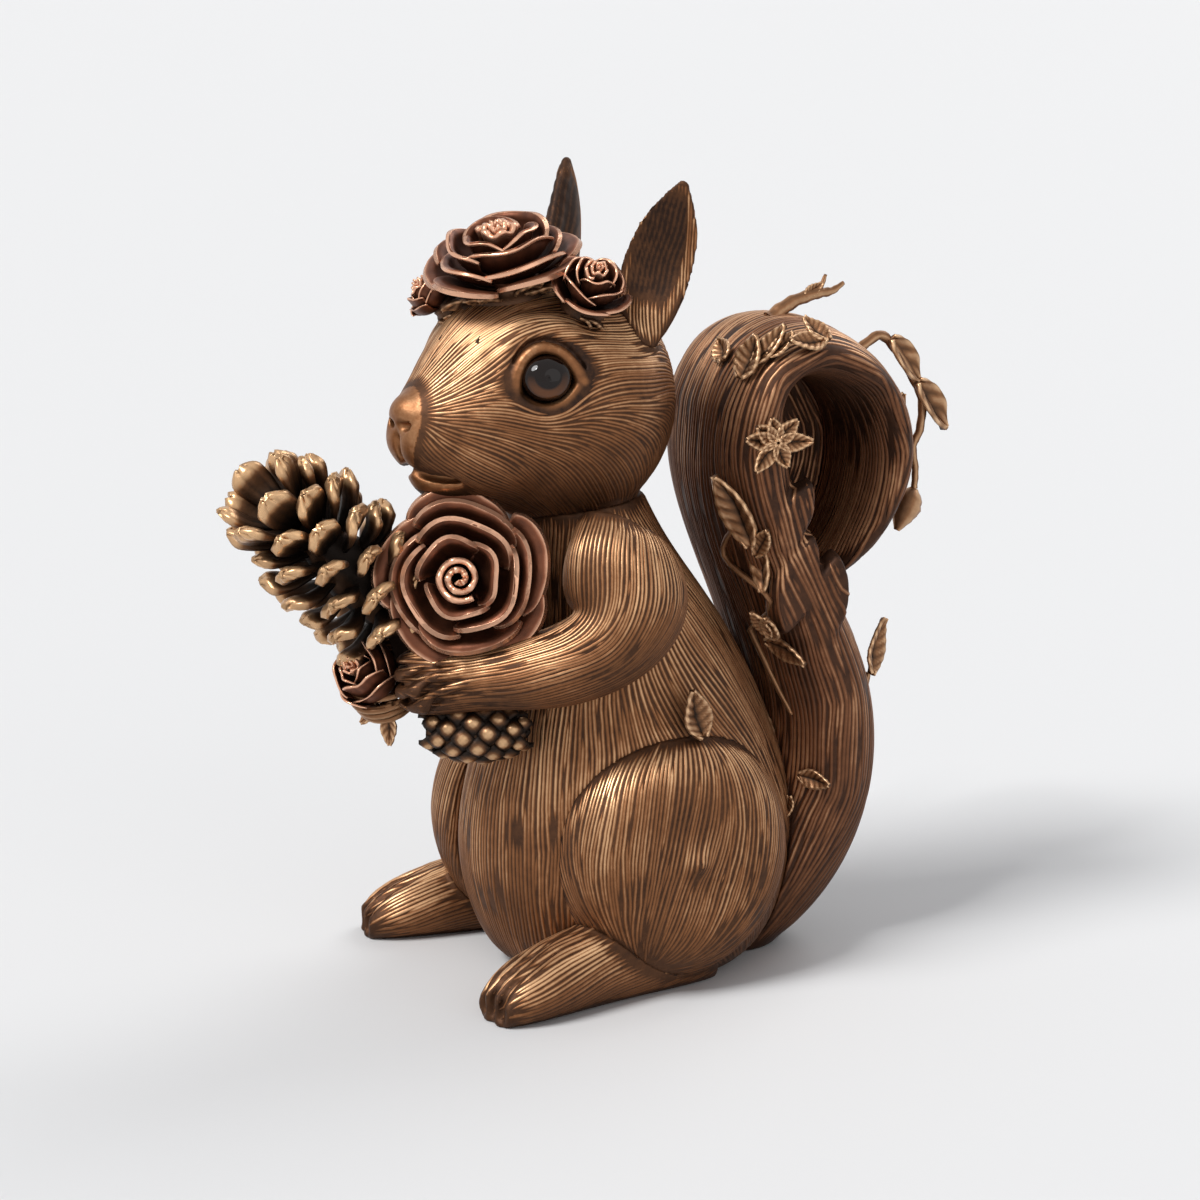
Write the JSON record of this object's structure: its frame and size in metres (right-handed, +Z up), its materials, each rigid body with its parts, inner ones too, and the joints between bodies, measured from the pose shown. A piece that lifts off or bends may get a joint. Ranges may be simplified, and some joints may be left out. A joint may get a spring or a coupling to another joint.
{
  "type": "squirrel figurine",
  "caption": "Sitting squirrel ornament in bronze finish, wearing a crown of roses and holding a posy of a rose and pine cone.",
  "frame": {"origin": "middle of the flat sole under the belly, on the surface that the figurine stands on", "axes": "+Z up, the squirrel faces -Y, its own left side is towards +X"},
  "size_m": [0.1082, 0.2196, 0.2308],
  "materials": {
    "bronze": "antiqued bronze paint on cast resin, dark in the recesses and rubbed bright on the ridges",
    "rose_copper": "reddish copper paint on cast resin with bright petal rims",
    "dark_bronze": "dark bronze paint on cast resin with bright edges",
    "eye_glass": "glossy dark brown glass",
    "leaf_bronze": "pale bronze paint on cast leaves and vines, dark in the veins"
  },
  "bodies": {
    "root": {"body": "bronze", "head": "bronze", "tail": "bronze", "ear_left": "bronze", "ear_right": "bronze", "eye_left": "eye_glass", "eye_right": "eye_glass", "haunch_left": "bronze", "haunch_right": "bronze", "foot_left": "bronze", "foot_right": "bronze", "arm_left": "bronze", "arm_right": "bronze", "crown_band": "dark_bronze", "crown_rose": "rose_copper", "crown_bud_left": "rose_copper", "crown_buds_right": "rose_copper", "posy_hub": "dark_bronze", "posy_rose": "rose_copper", "posy_bud": "rose_copper", "pinecone": "dark_bronze", "small_cone": "dark_bronze", "crown_leaves": "leaf_bronze", "twig_nest": "leaf_bronze", "tail_sprig": "leaf_bronze", "tail_cluster": "leaf_bronze", "tail_crest_leaves": "leaf_bronze", "tail_star": "leaf_bronze", "tail_tendrils": "leaf_bronze", "tail_top_twig": "leaf_bronze", "tail_rear_vine": "leaf_bronze", "tail_side_shoot": "leaf_bronze", "haunch_leaf": "leaf_bronze", "hip_leaf": "leaf_bronze"}
  },
  "joints": []
}
